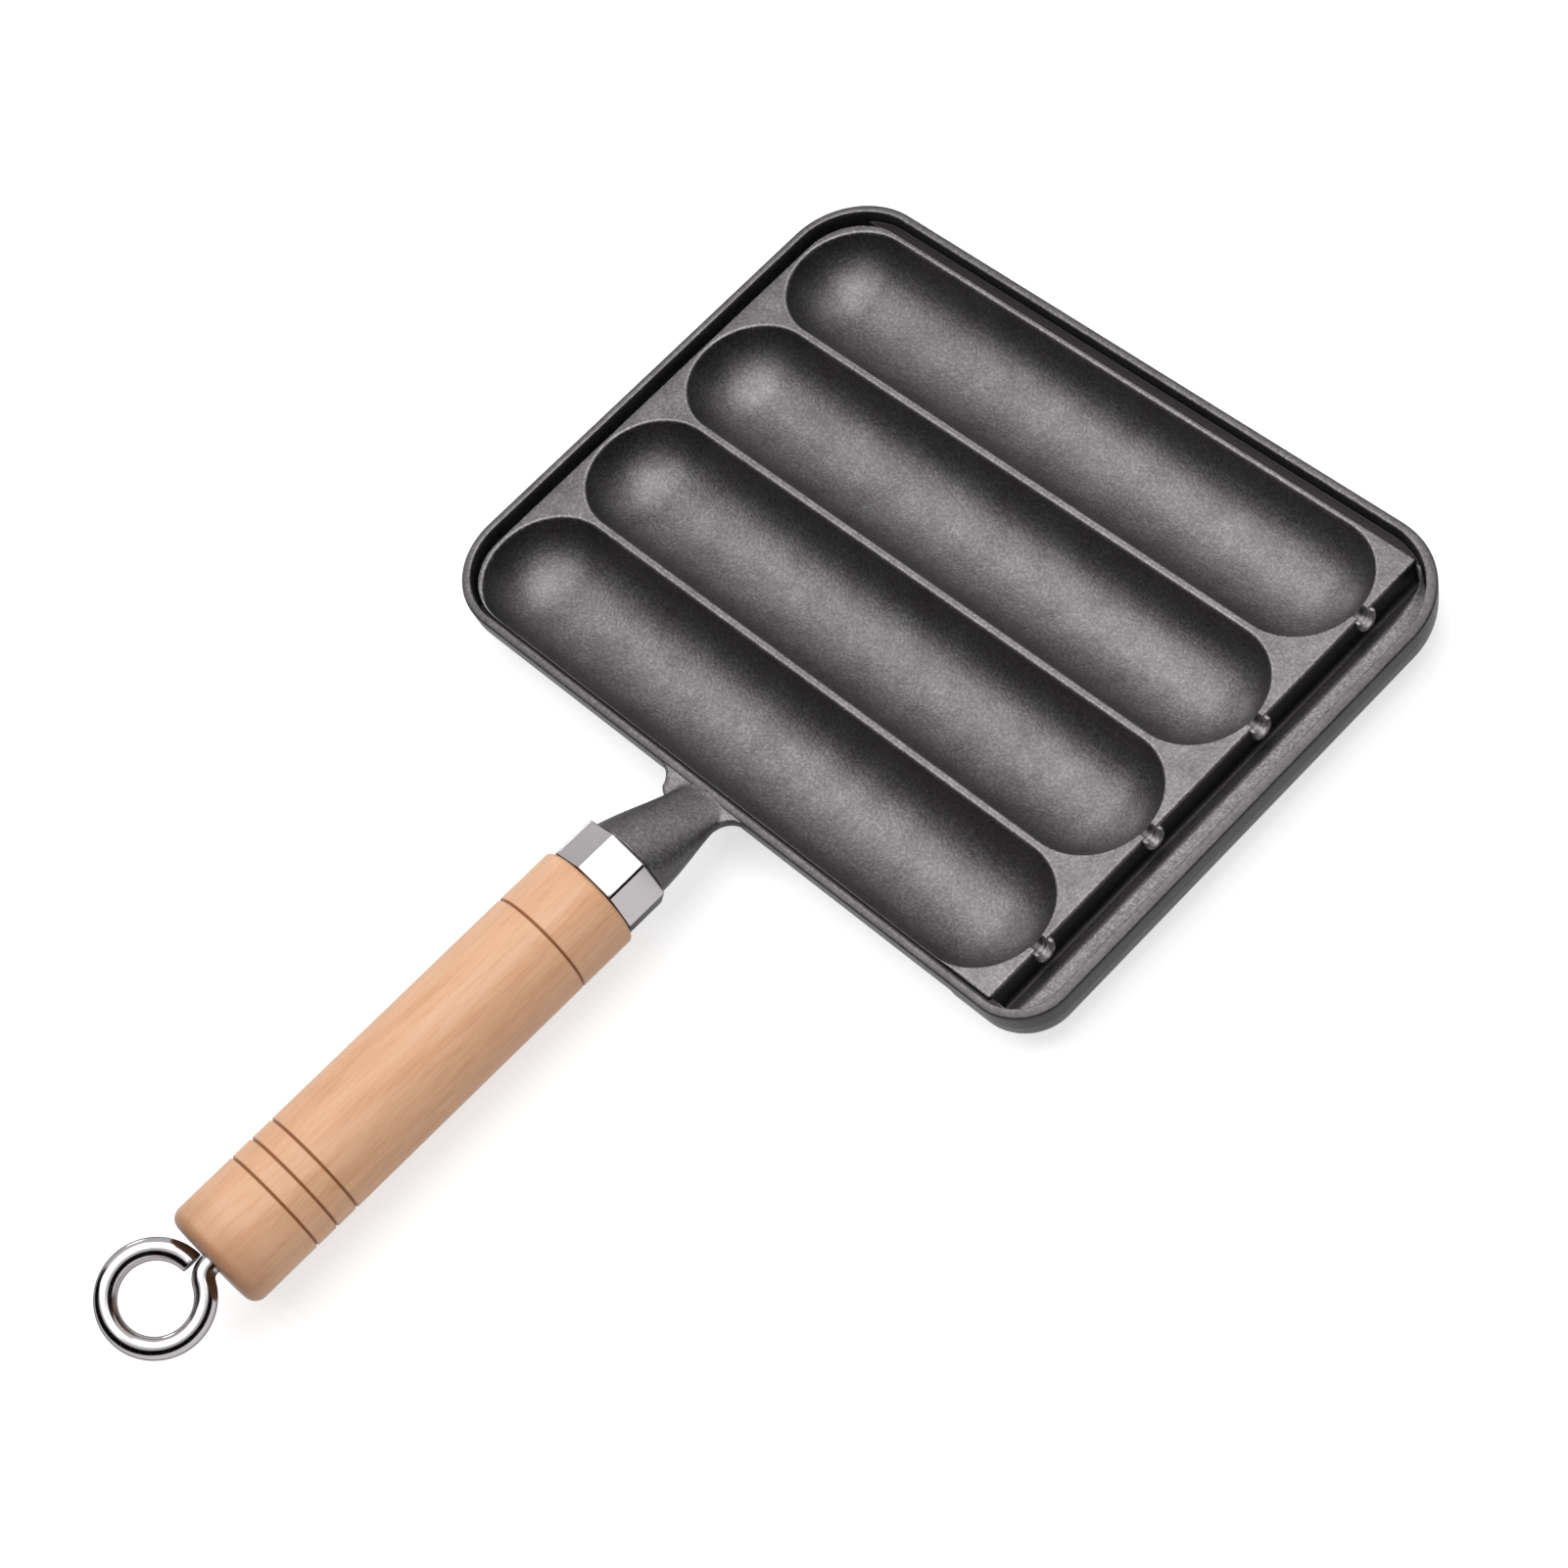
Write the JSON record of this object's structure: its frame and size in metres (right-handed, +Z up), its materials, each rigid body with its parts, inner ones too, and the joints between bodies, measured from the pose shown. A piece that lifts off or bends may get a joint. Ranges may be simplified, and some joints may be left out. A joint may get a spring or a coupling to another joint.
{
  "type": "sausage grill pan",
  "caption": "Flat iron pan with rounded troughs for sausages, a fat gutter across one end, and a turned wooden handle held on by a long eye bolt.",
  "frame": {"origin": "middle of the part's footprint, on the plane that the pan stands on", "axes": "+Z up; +X along the troughs towards the fat gutter; the handle points along -Y"},
  "size_m": [0.227, 0.3668, 0.0412],
  "materials": {
    "iron": "seasoned, grainy",
    "wood": "turned and oiled",
    "steel": "polished plate"
  },
  "bodies": {
    "pan": {"pan_casting": "iron"},
    "handle": {"ferrule": "steel", "wood_grip": "wood"},
    "bolt": {"eye_bolt": "steel"}
  },
  "joints": [
    {"name": "handle_draw", "type": "slide", "parent": "pan", "child": "handle", "axis": [0, -0.9999, 0.014], "range_m": [0, 0.012]},
    {"name": "bolt_turn", "type": "hinge", "parent": "handle", "child": "bolt", "pos_m": [0, 0.01661, 0.02377], "axis": [0, -0.9999, 0.014], "range_deg": [0, 4320]}
  ],
  "couplings": [
    {"joint": "bolt_turn", "follows": "handle_draw", "rad_per_m": 6283.2}
  ]
}
